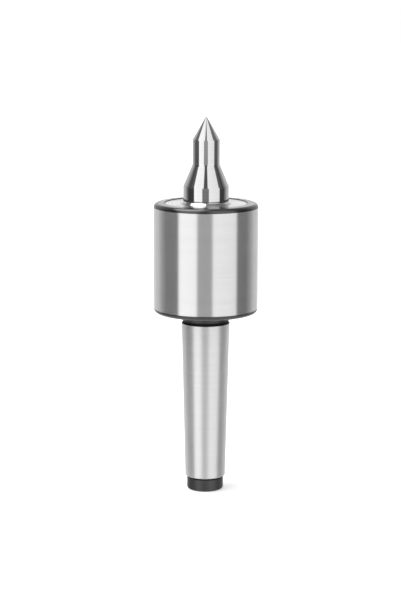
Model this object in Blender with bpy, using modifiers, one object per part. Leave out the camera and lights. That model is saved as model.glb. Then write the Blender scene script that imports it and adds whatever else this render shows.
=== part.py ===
"""Live center, Morse taper 3: a one-piece shank and housing, and a 60 degree point that turns in it
on two angular contact ball bearings, a thrust ball bearing and a drawn cup needle bearing.
Metres, +Z along the axis, from the middle of the tail end face to the point."""

from math import asin, cos, pi, radians, sin, tan

import bmesh
import bpy
from mathutils import Matrix

MM = 0.001
CLEAR = 0.3  # between neighbouring pieces, mm
SHARP_DEG = 30.0

# Shank, Morse taper 3, form with a drawbar thread
TAIL_RADIUS = 9.1
TAIL_LENGTH = 7.0
TAIL_ROUND = 1.1
GAUGE_RADIUS = 23.825 / 2
GAUGE_HEIGHT = 81.0
TAPER_PER_MM = 0.05020
COLLAR_HEIGHT = 86.0
SHANK_CHAMFER = 0.25
DRAWBAR_RADIUS = 5.1
DRAWBAR_DEPTH = 28.0
DRAWBAR_SINK_RADIUS = 6.25

# Neck and housing
NECK_GROOVE_RADIUS = 11.4
NECK_GROOVE_TOP = 86.8
NECK_RADIUS = 11.85
HOUSING_BACK = 91.05
HOUSING_RADIUS = 26.1
BACK_FILLET = 2.35
FRONT_FILLET = 2.2
FRONT_FILLET_START = 144.05
FRONT_CROWN_DEG = 1.5
FRONT_WALL_RADIUS = 20.6
FRONT_EDGE_BREAK = 0.12

# Bores of the housing, from the back
NEEDLE_BORE_RADIUS = 9.3
NEEDLE_BORE_FLOOR = 71.0
THRUST_BORE_RADIUS = 14.3
THRUST_FLOOR = 97.7
BEARING_BORE_RADIUS = 20.3
BEARING_SEAT = 108.7
COVER_SEAT = 140.2

# Spindle, from the point down
POINT_HEIGHT = 189.4
POINT_FLAT_RADIUS = 0.15
POINT_HALF_ANGLE = 30.0
TIP_RADIUS = 6.8
FLARE_TOP = 165.4
FLARE_BOTTOM = 154.6
NOSE_RADIUS = 11.4
NOSE_BOTTOM = 146.9
JOURNAL_RADIUS = 12.2
JOURNAL_TOP = 146.15
SHOULDER_HEIGHT = 137.0
SEAT_RADIUS = 8.5
CLIP_GROOVE_RADIUS = 8.0
CLIP_GROOVE_BOTTOM = 107.4
CLIP_GROOVE_TOP = 109.0
SEAT_BOTTOM = 106.9
THRUST_SEAT_RADIUS = 7.5
THRUST_SEAT_BOTTOM = 97.0
REAR_JOURNAL_RADIUS = 6.0
REAR_JOURNAL_END = 74.0

# Cover, its ring, and the shaft seal
COVER_RADIUS = 20.3
COVER_TOP = 146.0
COVER_SPIGOT_RADIUS = 19.9
COVER_SPIGOT_BOTTOM = 137.3
COVER_BORE_RADIUS = 12.6
SEAL_POCKET_RADIUS = 17.5
SEAL_POCKET_TOP = 144.6
ORING_GROOVE_RADIUS = 18.2
ORING_GROOVE_BOTTOM = 142.0
ORING_GROOVE_TOP = 144.4
ORING_MIDDLE_RADIUS = 19.4
ORING_SECTION_RADIUS = 0.85
SEAL_OUTER_RADIUS = 17.2
SEAL_BOTTOM = 138.3
SEAL_TOP = 144.2
SPRING_MIDDLE_RADIUS = 14.4
SPRING_SECTION_RADIUS = 0.6
SPRING_HEIGHT = 140.2

# Angular contact ball bearings, 17 x 40 x 12
BALL_BEARINGS = {"front": 131.0, "rear": 115.0}
BEARING_WIDTH = 12.0
BEARING_OUTER_RADIUS = 20.0
BEARING_BORE = 8.8
PITCH_RADIUS = 14.25
BALL_RADIUS = 3.375
BALL_COUNT = 9
INNER_LAND_RADIUS = 11.7
OUTER_LAND_RADIUS = 16.7
OUTER_RELIEF_RADIUS = 17.7
CAGE_INNER_RADIUS = 12.6
CAGE_OUTER_RADIUS = 15.9
CAGE_WIDTH = 9.6

# Spacers and retaining ring
SPACER_BOTTOM = 121.3
SPACER_TOP = 124.7
CLIP_OUTER_RADIUS = 11.0
CLIP_BOTTOM = 107.7
CLIP_THICKNESS = 1.0
CLIP_OPENING = 7.0

# Thrust ball bearing, 15 x 28 x 9
THRUST_BOTTOM = 98.0
THRUST_WIDTH = 8.6
WASHER_WIDTH = 2.6
THRUST_OUTER_RADIUS = 14.0
THRUST_BORE = 7.8
THRUST_PITCH_RADIUS = 10.75
THRUST_BALL_RADIUS = 2.2
THRUST_BALL_COUNT = 10

# Drawn cup needle bearing, 12 x 18 x 12
CUP_BOTTOM = 77.0
CUP_WIDTH = 12.0
CUP_OUTER_RADIUS = 9.0
CUP_WALL = 0.8
CUP_LIP_RADIUS = 6.8
NEEDLE_PITCH_RADIUS = 7.1
NEEDLE_RADIUS = 0.8
NEEDLE_COUNT = 12
NEEDLE_LENGTH = 8.8
NEEDLE_CAGE_INNER_RADIUS = 6.75
NEEDLE_CAGE_OUTER_RADIUS = 7.45
NEEDLE_CAGE_WIDTH = 9.8


def clear_scene():
    for item in list(bpy.data.objects):
        bpy.data.objects.remove(item, do_unlink=True)


def new_collection(name):
    group = bpy.data.collections.new(name)
    bpy.context.scene.collection.children.link(group)
    return group


def new_material(name, colour, roughness, metallic):
    material = bpy.data.materials.new(name)
    material.use_nodes = True
    shader = material.node_tree.nodes["Principled BSDF"]
    shader.inputs["Base Color"].default_value = (*colour, 1.0)
    shader.inputs["Roughness"].default_value = roughness
    shader.inputs["Metallic"].default_value = metallic
    material.diffuse_color = (*colour, 1.0)
    return material


def new_object(name, mesh, group, material=None, at=(0.0, 0.0, 0.0), parent=None):
    item = bpy.data.objects.new(name, mesh)
    group.objects.link(item)
    if material:
        mesh.materials.append(material)
    if parent:
        item.parent = parent
        at = tuple(a - b for a, b in zip(at, world_place(parent)))
    item.location = at
    return item


def world_place(item):
    place = item.location.copy()
    while item.parent:
        item = item.parent
        place += item.location
    return place


def arc(middle_r, middle_z, radius, start_deg, end_deg, count):
    """Points (r, z) from one angle to the other; 0 degrees is outward, 90 is up."""
    points = []
    for i in range(count + 1):
        angle = radians(start_deg + (end_deg - start_deg) * i / count)
        points.append((middle_r + radius * cos(angle), middle_z + radius * sin(angle)))
    return points


def turned(name, profile, steps, datum, group, material=None, parent=None, closed=True):
    """A lathe body about Z from (r, z) points in mm, listed down the outer side first."""
    mesh = bpy.data.meshes.new(name)
    vertices = [(r * MM, 0.0, (z - datum) * MM) for r, z in profile]
    edges = [(i, i + 1) for i in range(len(vertices) - 1)]
    if closed:
        edges.append((len(vertices) - 1, 0))
    mesh.from_pydata(vertices, edges, [])
    item = new_object(name, mesh, group, material, (0.0, 0.0, datum * MM), parent)
    screw = item.modifiers.new("Turn", "SCREW")
    screw.axis = "Z"
    screw.angle = 2 * pi
    screw.steps = steps
    screw.render_steps = steps
    screw.use_merge_vertices = True
    screw.merge_threshold = 0.00001
    screw.use_smooth_shade = True
    return item


def finish(item):
    """Applies the modifiers, and shades the piece smooth between its sharp edges."""
    graph = bpy.context.evaluated_depsgraph_get()
    mesh = bpy.data.meshes.new_from_object(item.evaluated_get(graph), depsgraph=graph)
    mesh.name = item.name
    item.modifiers.clear()
    item.data = mesh
    mesh.shade_smooth()
    if "_ball_" not in item.name:
        mesh.set_sharp_from_angle(angle=radians(SHARP_DEG))


def taper_radius(height):
    return GAUGE_RADIUS + (height - GAUGE_HEIGHT) * TAPER_PER_MM / 2


def housing_outline():
    crown = radians(FRONT_CROWN_DEG)
    fillet_r = HOUSING_RADIUS - FRONT_FILLET
    fillet_end_r = fillet_r + FRONT_FILLET * sin(crown)
    fillet_end_z = FRONT_FILLET_START + FRONT_FILLET * cos(crown)
    edge_r = FRONT_WALL_RADIUS + FRONT_EDGE_BREAK
    edge_z = fillet_end_z + (fillet_end_r - edge_r) * tan(crown)
    sink_depth = (DRAWBAR_SINK_RADIUS - DRAWBAR_RADIUS) / tan(radians(30.0))
    drill_tip = DRAWBAR_RADIUS / tan(radians(59.0))
    bore_tip = NEEDLE_BORE_RADIUS / tan(radians(59.0))
    outside = [(edge_r, edge_z)]
    outside += arc(fillet_r, FRONT_FILLET_START, FRONT_FILLET, 90.0 - FRONT_CROWN_DEG, 0.0, 5)
    outside += arc(HOUSING_RADIUS - BACK_FILLET, HOUSING_BACK + BACK_FILLET, BACK_FILLET, 0.0, -90.0, 4)
    outside += [
        (NECK_RADIUS, HOUSING_BACK),
        (NECK_RADIUS, NECK_GROOVE_TOP),
        (NECK_GROOVE_RADIUS, NECK_GROOVE_TOP),
        (NECK_GROOVE_RADIUS, COLLAR_HEIGHT),
        (taper_radius(COLLAR_HEIGHT) - SHANK_CHAMFER, COLLAR_HEIGHT),
        (taper_radius(COLLAR_HEIGHT), COLLAR_HEIGHT - SHANK_CHAMFER),
        (taper_radius(TAIL_LENGTH), TAIL_LENGTH + SHANK_CHAMFER),
        (taper_radius(TAIL_LENGTH) - SHANK_CHAMFER, TAIL_LENGTH),
        (TAIL_RADIUS, TAIL_LENGTH),
    ]
    outside += arc(TAIL_RADIUS - TAIL_ROUND, TAIL_ROUND, TAIL_ROUND, 0.0, -90.0, 3)
    drawbar = [
        (DRAWBAR_SINK_RADIUS, 0.0),
        (DRAWBAR_RADIUS, sink_depth),
        (DRAWBAR_RADIUS, DRAWBAR_DEPTH),
        (0.0, DRAWBAR_DEPTH + drill_tip),
    ]
    bores = [
        (0.0, NEEDLE_BORE_FLOOR - bore_tip),
        (NEEDLE_BORE_RADIUS, NEEDLE_BORE_FLOOR),
        (NEEDLE_BORE_RADIUS, THRUST_FLOOR),
        (THRUST_BORE_RADIUS, THRUST_FLOOR),
        (THRUST_BORE_RADIUS, BEARING_SEAT),
        (BEARING_BORE_RADIUS, BEARING_SEAT),
        (BEARING_BORE_RADIUS, COVER_SEAT),
        (FRONT_WALL_RADIUS, COVER_SEAT),
        (FRONT_WALL_RADIUS, edge_z - FRONT_EDGE_BREAK),
    ]
    return bores, outside + drawbar


def make_shank_housing(group, material):
    bores, outside = housing_outline()
    profile = bores + outside
    return turned("shank_housing", profile, 40, 0.0, group, material, closed=False)


def make_spindle(group, material, parent):
    slope = tan(radians(POINT_HALF_ANGLE))
    cone_base = POINT_HEIGHT - TIP_RADIUS / slope
    profile = [
        (0.0, POINT_HEIGHT - POINT_FLAT_RADIUS / slope),
        (POINT_FLAT_RADIUS, POINT_HEIGHT - POINT_FLAT_RADIUS / slope),
        (TIP_RADIUS, cone_base),
        (TIP_RADIUS, FLARE_TOP),
        (NOSE_RADIUS, FLARE_BOTTOM),
        (NOSE_RADIUS, NOSE_BOTTOM),
        (JOURNAL_RADIUS, JOURNAL_TOP),
        (JOURNAL_RADIUS, SHOULDER_HEIGHT),
        (SEAT_RADIUS, SHOULDER_HEIGHT),
        (SEAT_RADIUS, CLIP_GROOVE_TOP),
        (CLIP_GROOVE_RADIUS, CLIP_GROOVE_TOP),
        (CLIP_GROOVE_RADIUS, CLIP_GROOVE_BOTTOM),
        (SEAT_RADIUS, CLIP_GROOVE_BOTTOM),
        (SEAT_RADIUS, SEAT_BOTTOM),
        (THRUST_SEAT_RADIUS, SEAT_BOTTOM),
        (THRUST_SEAT_RADIUS, THRUST_SEAT_BOTTOM),
        (REAR_JOURNAL_RADIUS, THRUST_SEAT_BOTTOM),
        (REAR_JOURNAL_RADIUS, REAR_JOURNAL_END + 0.5),
        (REAR_JOURNAL_RADIUS - 0.5, REAR_JOURNAL_END),
        (0.0, REAR_JOURNAL_END),
    ]
    return turned("center_spindle", profile, 32, SHOULDER_HEIGHT, group, material, parent, closed=False)


def make_cover(group, material, parent):
    profile = [
        (COVER_BORE_RADIUS, COVER_TOP),
        (COVER_RADIUS - 0.2, COVER_TOP),
        (COVER_RADIUS, COVER_TOP - 0.2),
        (COVER_RADIUS, ORING_GROOVE_TOP),
        (ORING_GROOVE_RADIUS, ORING_GROOVE_TOP),
        (ORING_GROOVE_RADIUS, ORING_GROOVE_BOTTOM),
        (COVER_RADIUS, ORING_GROOVE_BOTTOM),
        (COVER_RADIUS, COVER_SEAT + CLEAR),
        (COVER_SPIGOT_RADIUS, COVER_SEAT + CLEAR),
        (COVER_SPIGOT_RADIUS, COVER_SPIGOT_BOTTOM),
        (SEAL_POCKET_RADIUS, COVER_SPIGOT_BOTTOM),
        (SEAL_POCKET_RADIUS, SEAL_POCKET_TOP),
        (COVER_BORE_RADIUS, SEAL_POCKET_TOP),
    ]
    return turned("front_cover", profile, 32, COVER_TOP, group, material, parent)


def make_round_ring(name, middle_r, middle_z, section, steps, group, material, parent):
    profile = arc(middle_r, middle_z, section, 90.0, -210.0, 5)
    return turned(name, profile, steps, middle_z, group, material, parent)


def make_shaft_seal(group, material, parent):
    """A lip seal: a case with a flat back, and a lip towards the journal."""
    profile = [
        (JOURNAL_RADIUS + 1.6, SEAL_TOP),
        (SEAL_OUTER_RADIUS, SEAL_TOP),
        (SEAL_OUTER_RADIUS, SEAL_BOTTOM),
        (SEAL_OUTER_RADIUS - 1.0, SEAL_BOTTOM),
        (SEAL_OUTER_RADIUS - 1.0, SEAL_TOP - 1.4),
        (JOURNAL_RADIUS + 1.3, SEAL_TOP - 1.4),
        (JOURNAL_RADIUS + 1.3, SEAL_BOTTOM + 0.4),
        (JOURNAL_RADIUS + 0.7, SEAL_BOTTOM + 0.4),
        (JOURNAL_RADIUS + CLEAR, SEAL_BOTTOM + 1.4),
        (JOURNAL_RADIUS + 0.8, SEAL_TOP - 1.4),
    ]
    return turned("shaft_seal", profile, 24, SEAL_TOP, group, material, parent)


def make_outer_ring(side, height, group, material, parent):
    """The shoulder is cut back on the side away from the thrust, as in an angular contact bearing."""
    groove = BALL_RADIUS + CLEAR
    top = height + BEARING_WIDTH / 2
    bottom = height - BEARING_WIDTH / 2
    low = asin((OUTER_LAND_RADIUS - PITCH_RADIUS) / groove)
    high = asin((OUTER_RELIEF_RADIUS - PITCH_RADIUS) / groove)
    start = -90.0 + low * 180 / pi
    end = 90.0 - high * 180 / pi
    profile = [
        (BEARING_OUTER_RADIUS, top),
        (BEARING_OUTER_RADIUS, bottom),
        (OUTER_LAND_RADIUS, bottom),
    ]
    profile += arc(PITCH_RADIUS, height, groove, start, end, 4)
    profile += [(OUTER_RELIEF_RADIUS, top)]
    name = side + "_bearing_outer_ring"
    return turned(name, profile, 3 * BALL_COUNT, height, group, material, parent)


def make_inner_ring(side, height, group, material, parent):
    groove = BALL_RADIUS + CLEAR
    top = height + BEARING_WIDTH / 2 - CLEAR
    bottom = height - BEARING_WIDTH / 2
    half = asin((PITCH_RADIUS - INNER_LAND_RADIUS) / groove) * 180 / pi
    profile = [(INNER_LAND_RADIUS, top)]
    profile += arc(PITCH_RADIUS, height, groove, 90.0 + half, 270.0 - half, 4)
    profile += [(INNER_LAND_RADIUS, bottom), (BEARING_BORE, bottom), (BEARING_BORE, top)]
    name = side + "_bearing_inner_ring"
    return turned(name, profile, 3 * BALL_COUNT, height, group, material, parent)


def round_bars(name, height, count, radius, length, pitch, radial, group):
    """A ring of round bars as one object, along the axis or pointing outward."""
    builder = bmesh.new()
    for i in range(count):
        made = bmesh.ops.create_cone(
            builder,
            cap_ends=True,
            segments=10,
            radius1=radius * MM,
            radius2=radius * MM,
            depth=length * MM,
        )
        place = Matrix.Rotation(2 * pi * i / count, 4, "Z") @ Matrix.Translation((pitch * MM, 0.0, 0.0))
        if radial:
            place = place @ Matrix.Rotation(pi / 2, 4, "Y")
        bmesh.ops.transform(builder, matrix=place, verts=made["verts"])
    mesh = bpy.data.meshes.new(name)
    builder.to_mesh(mesh)
    builder.free()
    return new_cutter(name, mesh, height, group)


def new_cutter(name, mesh, height, group):
    cutter = new_object(name, mesh, group, at=(0.0, 0.0, height * MM))
    cutter.hide_render = True
    cutter.display_type = "WIRE"
    return cutter


def combine(item, cutter, operation):
    boolean = item.modifiers.new(cutter.name, "BOOLEAN")
    boolean.operation = operation
    boolean.solver = "EXACT"
    boolean.object = cutter


def make_ball_cage(side, height, group, cutters, material, parent):
    half = CAGE_WIDTH / 2
    profile = [
        (CAGE_OUTER_RADIUS, height + half),
        (CAGE_OUTER_RADIUS, height - half),
        (CAGE_INNER_RADIUS, height - half),
        (CAGE_INNER_RADIUS, height + half),
    ]
    cage = turned(side + "_bearing_cage", profile, 3 * BALL_COUNT, height, group, material, parent)
    name = side + "_cage_pockets"
    pocket = BALL_RADIUS + CLEAR + 0.05
    bars = round_bars(name, height, BALL_COUNT, pocket, 8.0, PITCH_RADIUS, True, cutters)
    combine(cage, bars, "DIFFERENCE")
    return cage


def make_balls(prefix, height, pitch, radius, count, group, material, cage):
    """One ball a pocket, carried by the cage."""
    for i in range(count):
        angle = 2 * pi * i / count
        builder = bmesh.new()
        bmesh.ops.create_uvsphere(builder, u_segments=8, v_segments=5, radius=radius * MM)
        name = f"{prefix}_ball_{i + 1:02d}"
        mesh = bpy.data.meshes.new(name)
        builder.to_mesh(mesh)
        builder.free()
        at = (pitch * cos(angle) * MM, pitch * sin(angle) * MM, height * MM)
        new_object(name, mesh, group, material, at, cage)


def make_ball_bearing(side, height, group, cutters, materials, housing, spindle):
    make_outer_ring(side, height, group, materials["outer ring " + side], housing)
    make_inner_ring(side, height, group, materials["inner ring " + side], spindle)
    cage = make_ball_cage(side, height, group, cutters, materials["cage " + side], housing)
    prefix = side + "_bearing"
    balls = materials["balls " + side]
    make_balls(prefix, height, PITCH_RADIUS, BALL_RADIUS, BALL_COUNT, group, balls, cage)


def make_plain_ring(name, inner, outer, bottom, top, steps, group, material, parent):
    profile = [(outer, top), (outer, bottom), (inner, bottom), (inner, top)]
    return turned(name, profile, steps, bottom, group, material, parent)


def make_retaining_ring(group, cutters, material, parent):
    """A flat open ring, sprung into the groove of the spindle."""
    name = "retaining_ring"
    inner = CLIP_GROOVE_RADIUS + CLEAR
    top = CLIP_BOTTOM + CLIP_THICKNESS
    ring = make_plain_ring(name, inner, CLIP_OUTER_RADIUS, CLIP_BOTTOM, top, 24, group, material, parent)
    builder = bmesh.new()
    size = Matrix.Diagonal((8.0 * MM, CLIP_OPENING * MM, 4.0 * MM, 1.0))
    place = Matrix.Translation((CLIP_OUTER_RADIUS * MM, 0.0, 0.0))
    bmesh.ops.create_cube(builder, size=1.0, matrix=place @ size)
    mesh = bpy.data.meshes.new("retaining_ring_opening")
    builder.to_mesh(mesh)
    builder.free()
    combine(ring, new_cutter(mesh.name, mesh, CLIP_BOTTOM, cutters), "DIFFERENCE")
    return ring


def make_thrust_washer(name, inner, bottom, face_up, group, material, parent):
    """A washer with a ball groove on its upper or its lower face."""
    top = bottom + WASHER_WIDTH
    groove = THRUST_BALL_RADIUS + CLEAR
    middle = THRUST_BOTTOM + THRUST_WIDTH / 2
    face = top if face_up else bottom
    half = asin(abs(middle - face) / groove) * 180 / pi
    if face_up:
        cut_arc = arc(THRUST_PITCH_RADIUS, middle, groove, 180.0 + half, 360.0 - half, 4)
        profile = [(THRUST_OUTER_RADIUS, top), (THRUST_OUTER_RADIUS, bottom), (inner, bottom)]
        profile += [(inner, top)] + cut_arc
    else:
        cut_arc = arc(THRUST_PITCH_RADIUS, middle, groove, half, 180.0 - half, 4)
        profile = [(THRUST_OUTER_RADIUS, top), (THRUST_OUTER_RADIUS, bottom)]
        profile += cut_arc + [(inner, bottom), (inner, top)]
    return turned(name, profile, 2 * THRUST_BALL_COUNT, bottom, group, material, parent)


def make_thrust_bearing(group, cutters, materials, housing, spindle):
    top = THRUST_BOTTOM + THRUST_WIDTH
    middle = THRUST_BOTTOM + THRUST_WIDTH / 2
    make_thrust_washer(
        "thrust_housing_washer",
        THRUST_BORE + 0.4,
        THRUST_BOTTOM,
        True,
        group,
        materials["housing washer"],
        housing,
    )
    make_thrust_washer(
        "thrust_shaft_washer",
        THRUST_BORE,
        top - WASHER_WIDTH,
        False,
        group,
        materials["shaft washer"],
        spindle,
    )
    half = (THRUST_WIDTH / 2 - WASHER_WIDTH) - CLEAR
    pocket = THRUST_BALL_RADIUS + CLEAR + 0.05
    profile = [
        (THRUST_PITCH_RADIUS + 2.9, middle + half),
        (THRUST_PITCH_RADIUS + 2.9, middle - half),
        (THRUST_PITCH_RADIUS - 2.95, middle - half),
        (THRUST_PITCH_RADIUS - 2.95, middle + half),
    ]
    cage = turned("thrust_cage", profile, 20, middle, group, materials["thrust cage"], housing)
    count = THRUST_BALL_COUNT
    pitch = THRUST_PITCH_RADIUS
    bars = round_bars("thrust_cage_pockets", middle, count, pocket, 6.0, pitch, False, cutters)
    combine(cage, bars, "DIFFERENCE")
    balls = materials["thrust balls"]
    make_balls("thrust", middle, pitch, THRUST_BALL_RADIUS, count, group, balls, cage)


def make_needle_cup(group, material, parent):
    """A thin drawn cup with a turned-in lip at both ends."""
    top = CUP_BOTTOM + CUP_WIDTH
    inside = CUP_OUTER_RADIUS - CUP_WALL
    profile = [
        (CUP_OUTER_RADIUS, top),
        (CUP_OUTER_RADIUS, CUP_BOTTOM),
        (CUP_LIP_RADIUS, CUP_BOTTOM),
        (CUP_LIP_RADIUS, CUP_BOTTOM + CUP_WALL),
        (inside, CUP_BOTTOM + CUP_WALL),
        (inside, top - CUP_WALL),
        (CUP_LIP_RADIUS, top - CUP_WALL),
        (CUP_LIP_RADIUS, top),
    ]
    return turned("needle_bearing_cup", profile, 24, CUP_BOTTOM, group, material, parent)


def make_needle_cage(group, cutters, material, parent):
    """The cage and the needles it holds, as one body."""
    middle = CUP_BOTTOM + CUP_WIDTH / 2
    bottom = middle - NEEDLE_CAGE_WIDTH / 2
    top = middle + NEEDLE_CAGE_WIDTH / 2
    inner = NEEDLE_CAGE_INNER_RADIUS
    outer = NEEDLE_CAGE_OUTER_RADIUS
    cage = make_plain_ring("needle_cage", inner, outer, bottom, top, 24, group, material, parent)
    name = "needle_cage_rollers"
    pitch = NEEDLE_PITCH_RADIUS
    bars = round_bars(name, middle, NEEDLE_COUNT, NEEDLE_RADIUS, NEEDLE_LENGTH, pitch, False, cutters)
    combine(cage, bars, "UNION")
    return cage


def make_materials():
    steel = (0.62, 0.62, 0.62)
    return {
        "housing": new_material("ground shank steel", steel, 0.28, 1.0),
        "spindle": new_material("polished point steel", (0.68, 0.68, 0.69), 0.15, 1.0),
        "cover": new_material("turned cover steel", (0.6, 0.6, 0.6), 0.3, 1.0),
        "oring": new_material("cover ring rubber", (0.02, 0.02, 0.02), 0.6, 0.0),
        "seal": new_material("seal rubber", (0.03, 0.03, 0.03), 0.55, 0.0),
        "spring": new_material("garter spring steel", (0.5, 0.5, 0.5), 0.35, 1.0),
        "outer ring front": new_material("front outer ring steel", steel, 0.22, 1.0),
        "outer ring rear": new_material("rear outer ring steel", steel, 0.22, 1.0),
        "inner ring front": new_material("front inner ring steel", steel, 0.2, 1.0),
        "inner ring rear": new_material("rear inner ring steel", steel, 0.2, 1.0),
        "cage front": new_material("front cage brass", (0.62, 0.42, 0.16), 0.35, 1.0),
        "cage rear": new_material("rear cage brass", (0.62, 0.42, 0.16), 0.35, 1.0),
        "balls front": new_material("front ball steel", (0.7, 0.7, 0.7), 0.08, 1.0),
        "balls rear": new_material("rear ball steel", (0.7, 0.7, 0.7), 0.08, 1.0),
        "outer spacer": new_material("outer spacer steel", (0.45, 0.45, 0.46), 0.35, 1.0),
        "inner spacer": new_material("inner spacer steel", (0.45, 0.45, 0.46), 0.35, 1.0),
        "clip": new_material("spring steel, dark", (0.1, 0.1, 0.11), 0.4, 1.0),
        "housing washer": new_material("housing washer steel", steel, 0.22, 1.0),
        "shaft washer": new_material("shaft washer steel", steel, 0.22, 1.0),
        "thrust cage": new_material("thrust cage steel", (0.4, 0.4, 0.4), 0.4, 1.0),
        "thrust balls": new_material("thrust ball steel", (0.7, 0.7, 0.7), 0.08, 1.0),
        "cup": new_material("drawn cup steel", (0.5, 0.5, 0.5), 0.3, 1.0),
        "needles": new_material("needle steel", (0.6, 0.6, 0.6), 0.2, 1.0),
    }


def main():
    clear_scene()
    group = new_collection("live_center")
    cutters = new_collection("live_center_cutters")
    m = make_materials()
    housing = make_shank_housing(group, m["housing"])
    spindle = make_spindle(group, m["spindle"], housing)
    make_cover(group, m["cover"], housing)
    groove_middle = (ORING_GROOVE_BOTTOM + ORING_GROOVE_TOP) / 2
    make_round_ring(
        "cover_oring",
        ORING_MIDDLE_RADIUS,
        groove_middle,
        ORING_SECTION_RADIUS,
        24,
        group,
        m["oring"],
        housing,
    )
    make_shaft_seal(group, m["seal"], housing)
    make_round_ring(
        "seal_spring",
        SPRING_MIDDLE_RADIUS,
        SPRING_HEIGHT,
        SPRING_SECTION_RADIUS,
        20,
        group,
        m["spring"],
        housing,
    )
    for side, height in BALL_BEARINGS.items():
        make_ball_bearing(side, height, group, cutters, m, housing, spindle)
    low, high = SPACER_BOTTOM, SPACER_TOP
    make_plain_ring("outer_spacer", 17.0, 20.0, low, high, 24, group, m["outer spacer"], housing)
    make_plain_ring("inner_spacer", 8.8, 11.5, low, high, 24, group, m["inner spacer"], spindle)
    make_retaining_ring(group, cutters, m["clip"], spindle)
    make_thrust_bearing(group, cutters, m, housing, spindle)
    make_needle_cup(group, m["cup"], housing)
    make_needle_cage(group, cutters, m["needles"], housing)
    for item in group.objects:
        finish(item)


main()
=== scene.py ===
"""The looks of the live center.

Fine turned meshes stand in for each faceted solid, in ground, polished, turned and blackened steel, with a
studio of strip lights round them. Profile sizes are in mm.
"""

from math import asin, atan2, cos, degrees, exp, hypot, pi, radians, sin, tan

import bmesh
import bpy
from mathutils import Matrix, Vector


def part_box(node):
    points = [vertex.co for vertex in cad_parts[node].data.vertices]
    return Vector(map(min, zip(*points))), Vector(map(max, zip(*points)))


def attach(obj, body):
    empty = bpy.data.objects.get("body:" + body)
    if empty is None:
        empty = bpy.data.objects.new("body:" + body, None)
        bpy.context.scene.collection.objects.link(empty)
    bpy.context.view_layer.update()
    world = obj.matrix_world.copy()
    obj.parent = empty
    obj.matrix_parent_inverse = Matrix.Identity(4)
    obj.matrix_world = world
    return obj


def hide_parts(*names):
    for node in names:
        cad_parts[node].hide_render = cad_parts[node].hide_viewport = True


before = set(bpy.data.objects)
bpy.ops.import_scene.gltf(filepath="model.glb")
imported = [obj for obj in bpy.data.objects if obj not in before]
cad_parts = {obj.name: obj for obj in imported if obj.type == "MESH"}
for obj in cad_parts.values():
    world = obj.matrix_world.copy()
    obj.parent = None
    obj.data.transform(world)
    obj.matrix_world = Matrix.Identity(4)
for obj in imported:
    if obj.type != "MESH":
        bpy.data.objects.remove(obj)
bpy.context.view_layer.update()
MM = 0.001
STEPS = 256  # faces round a large piece
SHARP = radians(26)  # a fold steeper than this stays a sharp edge
LONG_RUN = 0.8  # a straight run longer than this gets support points
SUPPORT = 0.12  # their distance from its ends
ARC_STEP = radians(15)  # the largest turn between two points of a rounded edge


def node_span(node):
    """Outer radius, lowest and highest z of a CAD node, in mm."""
    low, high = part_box(node)
    return high.y / MM, low.z / MM, high.z / MM


# ---------------------------------------------------------------- profiles

def arc(middle_r, middle_z, radius, start_deg, end_deg, count):
    """Points (r, z) along an arc, both ends included."""
    points = []
    for i in range(count + 1):
        angle = radians(start_deg + (end_deg - start_deg) * i / count)
        points.append((middle_r + radius * cos(angle), middle_z + radius * sin(angle)))
    return points


def rounded(corners, closed=True):
    """A profile whose corners each become a small arc.

    A corner is (r, z, edge radius), and a fourth value is the material index of what follows it.
    """
    out = []
    n = len(corners)
    material = 0
    for i, corner in enumerate(corners):
        r, z, edge = corner[:3]
        before_material = material
        if len(corner) > 3:
            material = corner[3]
        if edge <= 0 or (not closed and i in (0, n - 1)):
            out.append((r, z, material))
            continue
        here = Vector((r, z))
        back = Vector(corners[i - 1][:2]) - here
        ahead = Vector(corners[(i + 1) % n][:2]) - here
        turn = back.angle(ahead)
        reach = edge / tan(turn / 2)
        reach = min(reach, back.length * 0.48, ahead.length * 0.48)
        real = reach * tan(turn / 2)
        middle = here + (back.normalized() + ahead.normalized()).normalized() * (real / sin(turn / 2))
        a = here + back.normalized() * reach - middle
        b = here + ahead.normalized() * reach - middle
        sweep = atan2(a.x * b.y - a.y * b.x, a.dot(b))
        start = atan2(a.y, a.x)
        count = max(2, int(abs(sweep) / ARC_STEP))
        for k in range(count + 1):
            angle = start + sweep * k / count
            used = before_material if k < count / 2 else material
            out.append((middle.x + real * cos(angle), middle.y + real * sin(angle), used))
    return out


def steadied(profile, closed):
    """Adds points near both ends of each long straight run, so its shading stays straight to the edges."""
    out = []
    for i, (r, z, material) in enumerate(profile):
        out.append((r, z, material))
        if i == len(profile) - 1 and not closed:
            break
        ahead_r, ahead_z, _ = profile[(i + 1) % len(profile)]
        length = hypot(ahead_r - r, ahead_z - z)
        if length < LONG_RUN:
            continue
        for share in (SUPPORT / length, 1 - SUPPORT / length):
            out.append((r + (ahead_r - r) * share, z + (ahead_z - z) * share, material))
    return out


def smoothed(mesh):
    mesh.shade_smooth()
    mesh.set_sharp_from_angle(angle=SHARP)
    return mesh


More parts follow.
